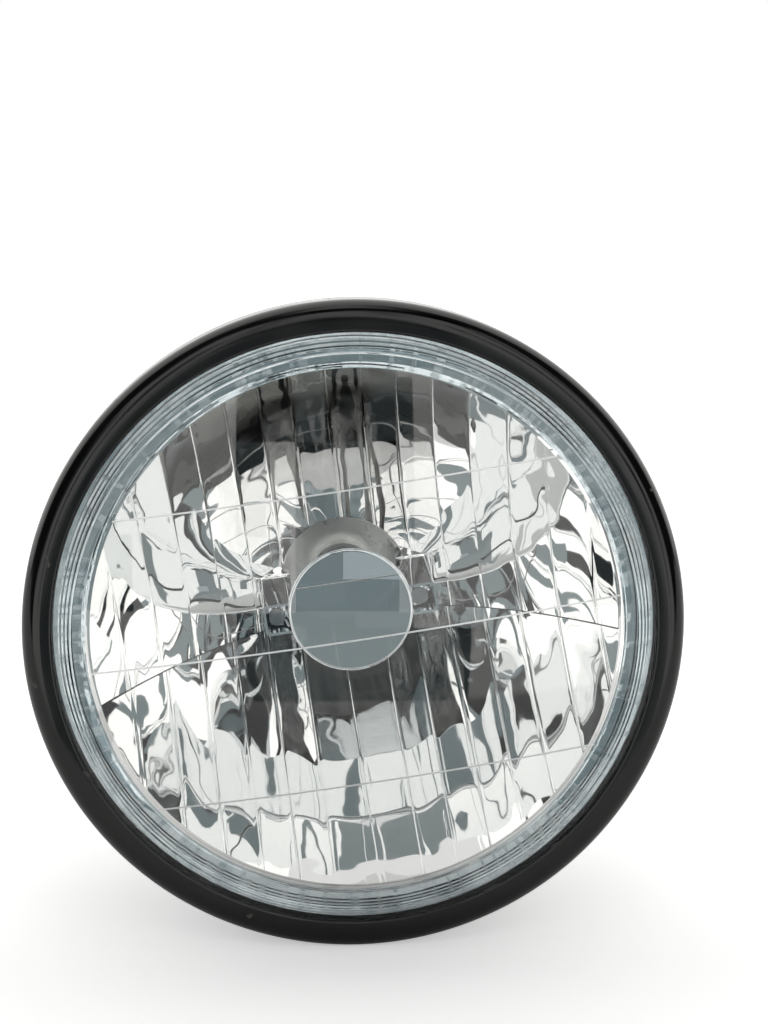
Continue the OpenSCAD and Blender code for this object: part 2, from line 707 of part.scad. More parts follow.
module rim_strap_right() {
    color("#6f7274") strap(strap_angles[1], strap_len, true);
}

module rim_hook() {
    color("#6f7274") strap(90, hook_len, false);
}

module strap_nuts() {
    nut_len = 1.6 * rim_screw_r;
    color("#9c9fa0") for (a = strap_angles) difference() {
        along_axis() rotate([0, 0, a]) translate([nut_face_r - nut_len, 0, rim_screw_z]) rotate([0, 90, 0])
            cylinder(r = nut_corner_r, h = nut_len, $fn = 6);
        spoke(a, rim_screw_z, nut_face_r - nut_len - past, strap_in_r + past, rim_screw_r + fit_gap / 2);
    }
}

module rim_screws() {
    head_at = shell_r + washer_t;
    color("#b5b8ba") for (a = strap_angles) {
        spoke(a, rim_screw_z, nut_face_r - 2 * rim_screw_r, head_at + washer_t, rim_screw_r);
        spoke(a, rim_screw_z, head_at, head_at + rim_screw_r, head_ratio * rim_screw_r);
    }
}

module rim_washers() {
    color("#a8a8a4") for (a = strap_angles) difference() {
        spoke(a, rim_screw_z, shell_r, shell_r + washer_t, 2 * rim_screw_r);
        spoke(a, rim_screw_z, shell_r - past, shell_r + washer_t + past, rim_screw_r + fit_gap);
    }
}

// Hex nut welded behind a pad, drilled for the mount bolt's thread
module mount_nut(side) {
    far_x = pad_x - shell_t;
    color("#9c9fa0") rotate([0, side * 90, 0]) translate([0, 0, far_x - mount_nut_len]) difference() {
        cylinder(r = mount_nut_af / 2 / cos(30), h = mount_nut_len, $fn = 6);
        translate([0, 0, -past]) cylinder(r = mount_r, h = mount_nut_len + 2 * past);
    }
}

module mount_nut_left() {
    mount_nut(-1);
}

module mount_nut_right() {
    mount_nut(1);
}

module cable_grommet() {
    inside_z = shell_back_z + shell_t;
    lip_r = grommet_r + (grommet_flange_r - grommet_r) / 2;
    color("#1d1d1f") translate([0, 0, -grommet_drop]) turned([
        [cable_r, shell_back_z - grommet_flange_t], [grommet_flange_r, shell_back_z - grommet_flange_t],
        [grommet_flange_r, shell_back_z], [grommet_r, shell_back_z], [grommet_r, inside_z],
        [lip_r, inside_z], [lip_r - grommet_lip_t / 2, inside_z + grommet_lip_t],
        [cable_r, inside_z + grommet_lip_t]
    ]);
}

trim_ring();
lens();
lens_seal();
reflector();
bulb_shield();
shield_rivets();
bulb_glass();
bulb_filaments();
bulb_base();
bulb_insulator();
bulb_terminals();
bulb_seat();
seat_rivets();
bulb_clip();
dust_boot();
retaining_ring();
retainer_lugs();
retainer_screws();
rim_seal();
shell();
rim_strap_left();
rim_strap_right();
rim_hook();
strap_nuts();
rim_screws();
rim_washers();
mount_nut_left();
mount_nut_right();
cable_grommet();
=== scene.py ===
# Round motorcycle headlight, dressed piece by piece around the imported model.
# Every length is in millimetres and turned to metres where a mesh is made.
import math

import bmesh
import bpy
from mathutils import Matrix, Vector


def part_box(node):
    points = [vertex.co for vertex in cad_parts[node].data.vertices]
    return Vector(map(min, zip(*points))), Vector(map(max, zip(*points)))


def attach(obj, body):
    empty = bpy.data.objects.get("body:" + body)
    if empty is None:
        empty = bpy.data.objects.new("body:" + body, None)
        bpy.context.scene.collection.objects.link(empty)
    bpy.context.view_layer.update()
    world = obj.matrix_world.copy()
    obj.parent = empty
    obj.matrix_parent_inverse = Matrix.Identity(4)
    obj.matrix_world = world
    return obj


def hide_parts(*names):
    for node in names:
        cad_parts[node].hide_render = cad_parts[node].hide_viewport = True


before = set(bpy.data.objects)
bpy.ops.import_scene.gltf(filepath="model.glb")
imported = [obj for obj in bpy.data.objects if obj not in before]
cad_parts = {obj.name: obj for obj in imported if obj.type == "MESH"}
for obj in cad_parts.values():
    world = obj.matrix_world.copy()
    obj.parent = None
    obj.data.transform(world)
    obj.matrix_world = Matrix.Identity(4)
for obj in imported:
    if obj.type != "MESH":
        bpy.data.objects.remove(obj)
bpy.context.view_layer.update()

# Camera
# A 100 mm lens about 0.87 m in front of the lamp and 12 degrees above its axis,
# with the lamp leaning a little to the left in the picture, as it stands in the photo.
mm = 0.001
view_azimuth = -2.0
view_elevation = 11.9
view_roll = 8.0
view_distance = 873
aim_right = 12.0
aim_up = 21.7
azimuth = math.radians(view_azimuth)
elevation = math.radians(view_elevation)
roll = math.radians(view_roll)
towards_camera = Vector((
    math.sin(azimuth) * math.cos(elevation),
    -math.cos(azimuth) * math.cos(elevation),
    math.sin(elevation),
))
level_right = Vector((math.cos(azimuth), math.sin(azimuth), 0))
level_up = towards_camera.cross(level_right)
picture_right = level_right * math.cos(roll) - level_up * math.sin(roll)
picture_up = level_right * math.sin(roll) + level_up * math.cos(roll)
camera_data = bpy.data.cameras.new("camera")
camera_data.lens = 100
camera_data.sensor_width = 36
camera_data.clip_start = 0.01
camera = bpy.data.objects.new("camera", camera_data)
bpy.context.scene.collection.objects.link(camera)
aim = picture_right * aim_right + picture_up * aim_up
place = (aim + towards_camera * view_distance) * mm
camera.matrix_world = Matrix.Translation(place) @ Matrix((
    (picture_right.x, picture_up.x, towards_camera.x, 0),
    (picture_right.y, picture_up.y, towards_camera.y, 0),
    (picture_right.z, picture_up.z, towards_camera.z, 0),
    (0, 0, 0, 1),
))
bpy.context.scene.camera = camera
bpy.context.scene.view_settings.view_transform = "Standard"


# Trim ring
# Pressed steel ring, rolled round at the front with its lip turned in over the glass,
# finished in gloss black stoving enamel that has gathered a few pale specks of dust.
def linear(code):
    """The linear colour of an sRGB hex code."""
    parts = [int(code[i:i + 2], 16) / 255 for i in (1, 3, 5)]
    return [p / 12.92 if p <= 0.04045 else ((p + 0.055) / 1.055) ** 2.4 for p in parts] + [1.0]


def add(tree, kind, inputs=None, **settings):
    """Adds a node, with its settings, and links or sets its inputs by name or number."""
    made = tree.nodes.new(kind)
    for name, value in settings.items():
        setattr(made, name, value)
    for name, value in (inputs or {}).items():
        if isinstance(value, bpy.types.NodeSocket):
            tree.links.new(value, made.inputs[name])
        else:
            made.inputs[name].default_value = value
    return made


def finish_named(name):
    """A new material and its empty node tree."""
    material = bpy.data.materials.new(name)
    material.use_nodes = True
    material.node_tree.nodes.clear()
    return material, material.node_tree


def surface_of(tree, shader):
    """Ends the tree in the given shader."""
    add(tree, "ShaderNodeOutputMaterial", {"Surface": shader.outputs[0]})


def per_mm(size):
    """Scale of a texture whose features are that many millimetres across."""
    return 1 / (size * mm)


def arc(r, level, radius, start, end, steps):
    """Points [r, level] along an arc in the turning plane, angles in degrees."""
    turns = [math.radians(start + (end - start) * i / steps) for i in range(steps + 1)]
    return [(r + radius * math.cos(t), level + radius * math.sin(t)) for t in turns]


def object_from(name, vertices, faces, material, smooth_under=30):
    """A piece from points in millimetres, smooth where faces meet under an angle."""
    mesh = bpy.data.meshes.new(name)
    mesh.from_pydata([Vector(v) * mm for v in vertices], [], faces)
    mesh.validate()
    bm = bmesh.new()
    bm.from_mesh(mesh)
    bmesh.ops.remove_doubles(bm, verts=bm.verts, dist=1e-7)
    bmesh.ops.recalc_face_normals(bm, faces=bm.faces)
    bm.to_mesh(mesh)
    bm.free()
    mesh.shade_smooth()
    mesh.set_sharp_from_angle(angle=math.radians(smooth_under))
    mesh.materials.append(material)
    made = bpy.data.objects.new(name, mesh)
    bpy.context.scene.collection.objects.link(made)
    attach(made, "root")
    return made


def turned(name, profile, material, segments=256, smooth_under=30, closed=True, shift=(0, 0)):
    """A piece turned about the optical axis from points [radius, level forward of the middle]."""
    vertices = []
    for k in range(segments):
        c, s = math.cos(math.tau * k / segments), math.sin(math.tau * k / segments)
        vertices += [(r * c + shift[0], -z, r * s + shift[1]) for r, z in profile]
    n = len(profile)
    faces = []
    for k in range(segments):
        a, b = k * n, (k + 1) % segments * n
        for i in range(n if closed else n - 1):
            j = (i + 1) % n
            faces.append((a + i, b + i, b + j, a + j))
    return object_from(name, vertices, faces, material, smooth_under)


rim_low, rim_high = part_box("trim_ring")
rim_r = 95.0
rim_front = -rim_low.y / mm
rim_back = -rim_high.y / mm
rim_sheet = 1.2
roll_r = 5.5
wide_z = rim_front - roll_r
skirt_z = wide_z - 11
skirt_r = rim_r - 0.7
sleeve_step = 1.9
sleeve_z = skirt_z - sleeve_step
sleeve_r = skirt_r - sleeve_step
lip_r = 86.2
lip_bend = 1.0


def rim_line(inset):
    """The ring's sheet from its sleeve, over a soft step and the skirt, to the front face."""
    return [(sleeve_r - inset, rim_back), (sleeve_r - inset, sleeve_z - 0.3),
            (sleeve_r - inset + 0.25, sleeve_z + 0.15), (skirt_r - inset - 0.25, skirt_z - 0.25),
            (skirt_r - inset, skirt_z + 0.3)] + arc(rim_r - roll_r, wide_z, roll_r - inset, 0, 90, 20)


def enamel(name, code, dust_size):
    """Stoving enamel on pressed steel: a hard gloss coat with slight orange peel and dust."""
    material, tree = finish_named(name)
    place = add(tree, "ShaderNodeTexCoord").outputs["Object"]
    peel = add(tree, "ShaderNodeTexNoise", {"Vector": place, "Scale": per_mm(1.6), "Detail": 2.0})
    waves = add(tree, "ShaderNodeTexNoise", {"Vector": place, "Scale": per_mm(24), "Detail": 1.0})
    dust = add(tree, "ShaderNodeTexNoise", {"Vector": place, "Scale": per_mm(dust_size), "Detail": 3.0})
    specks = add(tree, "ShaderNodeMapRange", {
        "Value": dust.outputs["Fac"], "From Min": 0.70, "From Max": 0.74, "To Min": 0.0, "To Max": 1.0})
    haze = add(tree, "ShaderNodeMapRange", {
        "Value": waves.outputs["Fac"], "From Min": 0.35, "From Max": 0.7, "To Min": 0.1, "To Max": 0.2})
    rough = add(tree, "ShaderNodeMath", {0: haze.outputs[0], 1: specks.outputs[0]}, operation="MAXIMUM")
    colour = add(tree, "ShaderNodeMix", {
        "Factor": specks.outputs[0], "A": linear(code), "B": linear("#4a4642")}, data_type="RGBA")
    height = add(tree, "ShaderNodeMath", {
        0: waves.outputs["Fac"], 1: 6.0, 2: peel.outputs["Fac"]}, operation="MULTIPLY_ADD")
    bump = add(tree, "ShaderNodeBump", {
        "Height": height.outputs[0], "Strength": 0.25, "Distance": 0.02 * mm})
    shader = add(tree, "ShaderNodeBsdfPrincipled", {
        "Base Color": colour.outputs["Result"], "Roughness": rough.outputs[0],
        "Normal": bump.outputs[0]})
    shader.inputs["IOR"].default_value = 1.5
    surface_of(tree, shader)
    return material


black_enamel = enamel("gloss_black_enamel", "#030303", 5.0)
lens_face_z = rim_front - rim_sheet
rim_profile = (
    rim_line(0)
    + arc(lip_r + lip_bend, rim_front - lip_bend, lip_bend, 90, 160, 6)
    + [(lip_r, lens_face_z + 0.02)]
    + rim_line(rim_sheet)[::-1]
)
trim_ring = turned("trim_ring_enamelled", rim_profile, black_enamel, segments=384)
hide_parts("trim_ring")


# Lens
# Pressed clear glass: a shallow dome on a stepped shoulder, three fine level ribs inside,
# and a knurled band at the foot of the shoulder, where the mould gripped it.
lens_low, lens_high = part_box("lens")
crown_z = -lens_low.y / mm
lens_seat_z = -lens_high.y / mm
lens_r = 88.8
glass_t = 3.5
dome_r = 80.0
dome_rise = 7.5
dome_edge_z = crown_z - dome_rise
dome_sphere = (dome_r ** 2 + dome_rise ** 2) / (2 * dome_rise)
dome_centre = crown_z - dome_sphere
foot_w = 11.3
foot_r = lens_r - foot_w
knurl_r = 85.4
knurl_half_w = 0.9
knurl_teeth = 880


def dome_level(r, inset=0.0):
    """Level of the dome, or of a surface inside it, at a distance from the axis."""
    return dome_centre + math.sqrt((dome_sphere - inset) ** 2 - r * r)


def pressed_glass(name, tint):
    """Soda-lime glass: clear, colourless in this thickness, with a fire-polished face."""
    material, tree = finish_named(name)
    place = add(tree, "ShaderNodeTexCoord").outputs["Object"]
    flow = add(tree, "ShaderNodeTexNoise", {"Vector": place, "Scale": per_mm(18), "Detail": 1.0})
    wave = add(tree, "ShaderNodeBump", {
        "Height": flow.outputs["Fac"], "Strength": 0.2, "Distance": 0.01 * mm})
    axes = add(tree, "ShaderNodeSeparateXYZ", {0: place})
    around = add(tree, "ShaderNodeMath", {
        0: axes.outputs["Z"], 1: axes.outputs["X"]}, operation="ARCTAN2")
    flat = add(tree, "ShaderNodeVectorMath", {0: place, 1: (1.0, 0.0, 1.0)}, operation="MULTIPLY")
    out = add(tree, "ShaderNodeVectorMath", {0: flat.outputs[0]}, operation="LENGTH")
    band = add(tree, "ShaderNodeMath", {
        0: out.outputs["Value"], 1: knurl_r * mm, 2: knurl_half_w * mm}, operation="COMPARE")
    turn = add(tree, "ShaderNodeMath", {
        0: around.outputs[0], 1: float(knurl_teeth)}, operation="MULTIPLY")
    tooth = add(tree, "ShaderNodeMath", {0: turn.outputs[0]}, operation="SINE")
    knurl = add(tree, "ShaderNodeMath", {0: tooth.outputs[0], 1: band.outputs[0]}, operation="MULTIPLY")
    bump = add(tree, "ShaderNodeBump", {
        "Height": knurl.outputs[0], "Strength": 0.6, "Distance": 0.05 * mm, "Normal": wave.outputs[0]})
    shader = add(tree, "ShaderNodeBsdfPrincipled", {
        "Base Color": linear(tint), "Normal": bump.outputs[0]})
    shader.inputs["Roughness"].default_value = 0.0
    shader.inputs["IOR"].default_value = 1.5
    shader.inputs["Transmission Weight"].default_value = 1.0
    surface_of(tree, shader)
    return material


clear_glass = pressed_glass("pressed_clear_glass", "#ffffff")
step_count = 4
shoulder_w = 4.6
step_w = shoulder_w / step_count
step_h = (dome_edge_z - lens_face_z) / step_count
held_w = 4.2
shoulder_start = lens_r - held_w
lens_profile = [(foot_r, lens_seat_z), (lens_r, lens_seat_z), (lens_r, lens_face_z)]
for i in range(step_count):
    tread_r = shoulder_start - i * step_w
    tread_z = lens_face_z + i * step_h
    lens_profile += [
        (tread_r + 0.18, tread_z), (tread_r, tread_z + 0.14),
        (tread_r - step_h / 4 + 0.02, tread_z + step_h - 0.2),
        (tread_r - step_h / 4 - 0.16, tread_z + step_h - 0.02),
    ]
dome_steps = 48
lens_profile += [(dome_r * (1 - i / dome_steps), dome_level(dome_r * (1 - i / dome_steps)))
                 for i in range(dome_steps + 1)]
inner_r = dome_r - glass_t
lens_profile += [(inner_r * i / dome_steps, dome_level(inner_r * i / dome_steps, glass_t))
                 for i in range(dome_steps + 1)]
lens = turned("lens_pressed_glass", lens_profile, clear_glass, segments=384, smooth_under=35)
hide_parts("lens")
rib_w = 0.5
rib_h = 0.35
rib_gap = 0.02
rib_levels = (-42.5, 0.0, 42.5)
rib_steps = 120


def rough_glass(name):
    """The moulded edge of a rib: glass left slightly rough, so it throws back the light around."""
    material, tree = finish_named(name)
    shader = add(tree, "ShaderNodeBsdfPrincipled", {"Base Color": linear("#fbfcfc")})
    shader.inputs["Metallic"].default_value = 1.0
    shader.inputs["Roughness"].default_value = 0.45
    surface_of(tree, shader)
    return material


rib_finish = rough_glass("moulded_rib_glass")
rib_vertices, rib_faces = [], []
for level in rib_levels:
    reach = math.sqrt(inner_r ** 2 - level ** 2) - 0.5
    start = len(rib_vertices)
    for k in range(rib_steps + 1):
        x = -reach + 2 * reach * k / rib_steps
        for y, drop in ((-1, 0), (1, 0), (0.6, 1), (-0.6, 1)):
            at = level + y * rib_w / 2
            z = dome_level(math.hypot(x, at), glass_t) - rib_gap - drop * rib_h
            rib_vertices.append((x, -z, at))
    for k in range(rib_steps):
        for q in range(4):
            a, b = start + 4 * k + q, start + 4 * k + (q + 1) % 4
            rib_faces.append((a, b, b + 4, a + 4))
    end = start + 4 * rib_steps
    rib_faces += [tuple(start + q for q in (3, 2, 1, 0)), tuple(end + q for q in range(4))]
lens_ribs = object_from("lens_ribs", rib_vertices, rib_faces, rib_finish)


# Reflector
# One moulding of glass-filled polyester, lacquered and vacuum aluminised inside: upright
# flutes with fine ridges between them, a level ledge below the middle and a flat glazing flange.
reflector_low, reflector_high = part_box("reflector")
flange_z = -reflector_low.y / mm
neck_z = -reflector_high.y / mm
flange_w = 13.3
flange_t = 1.5
bowl_r = lens_r - flange_w
bowl_depth = 69.9
vertex_z = flange_z - bowl_depth
focal = bowl_r ** 2 / (4 * bowl_depth)
ridge_half_w = 0.4
ridge_h = 0.07
flute_lean = 0.14
ledge_y = -11.0
ledge_h = 1.3
bulb_hole_r = 19.5
flutes_a_side = 9
flute_rows = {
    "above": {
        "shift": 1.7, "middle": 10.0, "width": 9.8, "lift": 0.0, "hollow": 0.1, "vary": 0.09},
    "below": {
        "shift": -3.1, "middle": 12.8, "width": 10.1, "lift": ledge_h, "hollow": -0.12, "vary": 0.1},
}


def ridge(k, row):
    """Place of ridge number k of a row of flutes, to the right of the axis."""
    if k == 0:
        return row["shift"]
    return row["shift"] + math.copysign(row["middle"] + (abs(k) - 1) * row["width"], k)


def fluted_stations(row, per_flute):
    """Places across the bowl: every ridge, points between them, and closer ones at the sides."""
    ridges = [ridge(k, row) for k in range(-flutes_a_side, flutes_a_side + 1)
              if abs(ridge(k, row)) < bowl_r - 0.2]
    stations = []
    for k in range(-flutes_a_side, flutes_a_side):
        a, b = ridge(k, row), ridge(k + 1, row)
        stations += [a + (b - a) * i / per_flute for i in range(1, per_flute)]
        stations += [a + 0.2, a + ridge_half_w, b - ridge_half_w, b - 0.2]
    stations = [x for x in stations if abs(x) < 0.84 * bowl_r]
    stations += [side * bowl_r * math.sin(math.radians(t)) for side in (-1, 1) for t in range(58, 91)]
    stations = sorted(ridges + [x for x in stations if all(abs(x - r) > 0.15 for r in ridges)])
    return [x for i, x in enumerate(stations) if i == 0 or x - stations[i - 1] > 0.02]


def flute_level(x, row):
    """Level of a flute against the plain bowl: a slight bow and lean, and a ridge on each side."""
    for k in range(-flutes_a_side - 1, flutes_a_side + 1):
        a, b = ridge(k, row), ridge(k + 1, row)
        if a <= x < b:
            u = 2 * (x - a) / (b - a) - 1
            hollow = row["hollow"] + row["vary"] * math.sin(2.4 * k + row["shift"])
            near = max(0.0, 1 - min(x - a, b - x) / ridge_half_w)
            lean = flute_lean * math.sin(3.7 * k + row["shift"])
            return hollow * (u * u - 1) + lean * (u - u ** 3) + ridge_h * near * near
    return ridge_h


def bowl_level(x, y, row):
    """Level of the aluminised surface."""
    return vertex_z + (x * x + y * y) / (4 * focal) + flute_level(x, row) + row["lift"]


def aluminised(name):
    """Vacuum deposited aluminium over lacquer: a true mirror with the faintest waviness."""
    material, tree = finish_named(name)
    place = add(tree, "ShaderNodeTexCoord").outputs["Object"]
    waves = add(tree, "ShaderNodeTexNoise", {"Vector": place, "Scale": per_mm(15), "Detail": 1.0})
    bump = add(tree, "ShaderNodeBump", {
        "Height": waves.outputs["Fac"], "Strength": 1.0, "Distance": 0.12 * mm})
    shader = add(tree, "ShaderNodeBsdfPrincipled", {
        "Base Color": linear("#f6f6f5"), "Normal": bump.outputs[0]})
    shader.inputs["Metallic"].default_value = 1.0
    shader.inputs["Roughness"].default_value = 0.02
    surface_of(tree, shader)
    return material


def fluted_face(row, low, high, per_flute, rows):
    """Vertices and faces of one row of flutes, from level low to high, ending on the bowl's edge."""
    stations = fluted_stations(row, per_flute)
    vertices = []
    for x in stations:
        half = math.sqrt(max(bowl_r ** 2 - x * x, 0.0))
        bottom, top = max(low, -half), min(high, half)
        for j in range(rows + 1):
            y = bottom + (max(top, bottom) - bottom) * j / rows
            vertices.append((x, -bowl_level(x, y, row), y))
    n = rows + 1
    faces = [(i * n + j, i * n + j + 1, (i + 1) * n + j + 1, (i + 1) * n + j)
             for i in range(len(stations) - 1) for j in range(rows)]
    return vertices, faces


def open_hole(vertices, faces, row, radius):
    """Takes out the faces over the bulb hole and draws the edge round to its circle."""
    inside = [math.hypot(x, y) < radius for x, _, y in vertices]
    kept = [f for f in faces if not all(inside[i] for i in f)]
    for i in {i for f in kept for i in f if inside[i]}:
        x, _, y = vertices[i]
        stretch = radius / math.hypot(x, y)
        vertices[i] = (x * stretch, -bowl_level(x * stretch, y * stretch, row), y * stretch)
    return vertices, kept


mirror_coat = aluminised("aluminised_lacquer")
upper_vertices, upper_faces = fluted_face(flute_rows["above"], ledge_y, bowl_r, 8, 84)
lower_vertices, lower_faces = fluted_face(flute_rows["below"], -bowl_r, ledge_y, 8, 64)
upper_vertices, upper_faces = open_hole(upper_vertices, upper_faces, flute_rows["above"], bulb_hole_r)
lower_vertices, lower_faces = open_hole(lower_vertices, lower_faces, flute_rows["below"], bulb_hole_r)
offset = len(upper_vertices)
reflector = object_from(
    "reflector_flutes", upper_vertices + lower_vertices,
    upper_faces + [tuple(i + offset for i in f) for f in lower_faces], mirror_coat, smooth_under=12)
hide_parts("reflector")
bowl_t = 2.8
neck_r = 29.0


def bowl_back(r):
    """Level of the back of the bowl."""
    level = vertex_z + r * r / (4 * focal) - bowl_t * math.sqrt(1 + (r / (2 * focal)) ** 2)
    return min(level, flange_z - flange_t)


back_profile = [(bulb_hole_r, vertex_z + bulb_hole_r ** 2 / (4 * focal))]
for start, end, steps in ((bulb_hole_r, neck_r - bowl_t, 8), (neck_r, bowl_r + bowl_t, 40)):
    if start == neck_r:
        back_profile += [(neck_r - bowl_t, neck_z), (neck_r, neck_z)]
    for i in range(steps + 1):
        r = start + i * (end - start) / steps
        back_profile.append((r, bowl_back(r)))
flange_r = lens_r - 0.1
back_profile += [(flange_r, flange_z - flange_t), (flange_r, flange_z), (bowl_r, flange_z)]
reflector_back = turned("reflector_flange_and_back", back_profile, mirror_coat, closed=False)


# Bulb shield
# A flat disc of bright steel folded back to a shallow cup, spot-riveted through two U-shaped
# legs to seats moulded in the bowl; it hides the bulb from in front.
shield_low, shield_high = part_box("bulb_shield")
shield_z = -shield_low.y / mm
seat_z = -shield_high.y / mm
shield_r = 18.5
shield_sheet = 0.8
cup_depth = 10.5
cup_narrow = 3.0
fold_r = 0.9
leg_in = shield_r - 1.2
leg_out = leg_in + 8.4
leg_half_w = 4.6
leg_bend = 1.2
seat_half_w = 5.1
leg_top = shield_z - 1.5 * shield_sheet


def bright_sheet(name, code, roughness):
    """Bright rolled sheet: a mirror blurred a little by the rolls, with faint ripples."""
    material, tree = finish_named(name)
    place = add(tree, "ShaderNodeTexCoord").outputs["Object"]
    ripple = add(tree, "ShaderNodeTexNoise", {"Vector": place, "Scale": per_mm(14), "Detail": 1.0})
    bump = add(tree, "ShaderNodeBump", {
        "Height": ripple.outputs["Fac"], "Strength": 0.1, "Distance": 0.01 * mm})
    shader = add(tree, "ShaderNodeBsdfPrincipled", {
        "Base Color": linear(code), "Normal": bump.outputs[0]})
    shader.inputs["Metallic"].default_value = 1.0
    shader.inputs["Roughness"].default_value = roughness
    surface_of(tree, shader)
    return material


def boxed(name, low, high, material, bevel):
    """A block between two corners in millimetres, with its edges rounded."""
    vertices = [(x, y, z) for x in (low[0], high[0]) for y in (low[1], high[1])
                for z in (low[2], high[2])]
    faces = [(0, 1, 3, 2), (4, 6, 7, 5), (0, 4, 5, 1), (2, 3, 7, 6), (0, 2, 6, 4), (1, 5, 7, 3)]
    made = object_from(name, vertices, faces, material)
    bm = bmesh.new()
    bm.from_mesh(made.data)
    bmesh.ops.bevel(bm, geom=bm.edges, offset=bevel * mm, segments=3, affect="EDGES", profile=0.5)
    bm.to_mesh(made.data)
    bm.free()
    made.data.shade_smooth()
    made.data.set_sharp_from_angle(angle=math.radians(50))
    return made


shield_finish = bright_sheet("bright_rolled_sheet", "#dde0e1", 0.0)
back_r = shield_r - cup_narrow
flat_r = shield_r - fold_r - 0.1
shield_profile = (
    [(0.0, shield_z), (flat_r, shield_z)] + arc(shield_r - fold_r, shield_z - fold_r, fold_r, 90, 0, 8)
    + [(back_r, shield_z - cup_depth), (back_r - shield_sheet, shield_z - cup_depth)]
    + arc(shield_r - fold_r, shield_z - fold_r, fold_r - shield_sheet, 0, 90, 4)
    + [(0.0, shield_z - shield_sheet)]
)
bulb_shield = turned("bulb_shield_cup", shield_profile, shield_finish, segments=192, closed=False)
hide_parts("bulb_shield")
for side, label in ((-1, "left"), (1, "right")):
    bend_in = leg_bend + 0.2
    half = [
        (leg_in, leg_half_w), (leg_out - leg_bend, leg_half_w),
        (leg_out - leg_bend / 3, leg_half_w - leg_bend / 3), (leg_out, leg_half_w - leg_bend),
    ]
    half_in = [
        (leg_out - shield_sheet, leg_half_w - bend_in), (leg_out - bend_in, leg_half_w - shield_sheet),
        (leg_in, leg_half_w - shield_sheet),
    ]
    channel = [(x, -y) for x, y in half] + half[::-1] + half_in[::-1] + [(x, -y) for x, y in half_in]
    n = len(channel)
    vertices = [(side * x, -z, y) for z in (seat_z, leg_top) for x, y in channel]
    faces = [(i, (i + 1) % n, (i + 1) % n + n, i + n) for i in range(n)]
    faces += [tuple(range(n)), tuple(range(2 * n - 1, n - 1, -1))]
    leg = object_from(f"shield_leg_{label}", vertices, faces, shield_finish, smooth_under=40)
    low_x, high_x = sorted((side * leg_in, side * (leg_out - 0.5)))
    foot = boxed(f"shield_foot_{label}", (low_x, -seat_z - shield_sheet, -leg_half_w + 0.4),
                 (high_x, -seat_z, leg_half_w - 0.4), shield_finish, 0.2)
    low_x, high_x = sorted((side * (leg_in - 1.0), side * (leg_out + 1.0)))
    seat = boxed(f"leg_seat_{label}", (low_x, -seat_z + 0.05, -seat_half_w),
                 (high_x, -vertex_z + 1.0, seat_half_w), mirror_coat, 0.4)


# Shell
# Deep-drawn steel bowl behind the ring, with a pressed pad on each side for the bracket
# bolts, two clearance holes for the ring's screws and a drain; black enamel outside and in.
shell_low, shell_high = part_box("shell")
mouth_z = -shell_low.y / mm
shell_back_z = -shell_high.y / mm
shell_r = 90.4
shell_sheet = 1.2
straight_h = 20
bowl_end_z = mouth_z - straight_h
shell_back_r = 34.0
back_bend = 1.5
pad_r = 13.0
pad_x = shell_high.x / mm
mount_hole_r = 4.2
screw_r = 2.5
screw_z = mouth_z - 16
screw_angles = (235, 305)
drain_r = 2.5
drain_z = screw_z - 16
grommet_y = -10.0
grommet_hole_r = 12.0
pad_drill = 400
sheet_drill = 20
bowl_half = (bowl_end_z - shell_back_z) / math.sqrt(1 - (shell_back_r / shell_r) ** 2)


def shell_line(inset):
    """The bowl's sheet from its mouth to the middle of its back, offset inward."""
    last = math.asin((bowl_end_z - shell_back_z - inset) / (bowl_half - inset))
    line = [(shell_r - inset, mouth_z), (shell_r - inset, (mouth_z + bowl_end_z) / 2)]
    line += [((shell_r - inset) * math.cos(last * i / 60),
              bowl_end_z - (bowl_half - inset) * math.sin(last * i / 60)) for i in range(60)]
    edge = ((shell_r - inset) * math.cos(last), shell_back_z + inset)
    line += [(edge[0] + 0.5 * back_bend, edge[1] + 0.25 * back_bend), (edge[0] - back_bend, edge[1])]
    return line + [(edge[0] * (1 - i / 4), edge[1]) for i in range(2, 5)]


def cut_round(target, rods):
    """Cuts round holes; each rod is a point, a direction, a radius and a length in millimetres."""
    bm = bmesh.new()
    for point, way, radius, length in rods:
        turn = Vector((0, 0, 1)).rotation_difference(Vector(way)).to_matrix().to_4x4()
        bmesh.ops.create_cone(
            bm, cap_ends=True, segments=64, radius1=radius * mm, radius2=radius * mm, depth=length * mm,
            matrix=Matrix.Translation(Vector(point) * mm) @ turn)
    mesh = bpy.data.meshes.new("rods")
    bm.to_mesh(mesh)
    bm.free()
    cutter = bpy.data.objects.new("rods", mesh)
    bpy.context.scene.collection.objects.link(cutter)
    change = target.modifiers.new("holes", "BOOLEAN")
    change.operation = "DIFFERENCE"
    change.solver = "EXACT"
    change.object = cutter
    cut = bpy.data.meshes.new_from_object(target.evaluated_get(bpy.context.evaluated_depsgraph_get()))
    target.modifiers.clear()
    target.data = cut
    bpy.data.objects.remove(cutter)


def spoke_at(angle, level, r):
    """A point at an angle round the axis, a level and a radius."""
    a = math.radians(angle)
    return (r * math.cos(a), -level, r * math.sin(a))


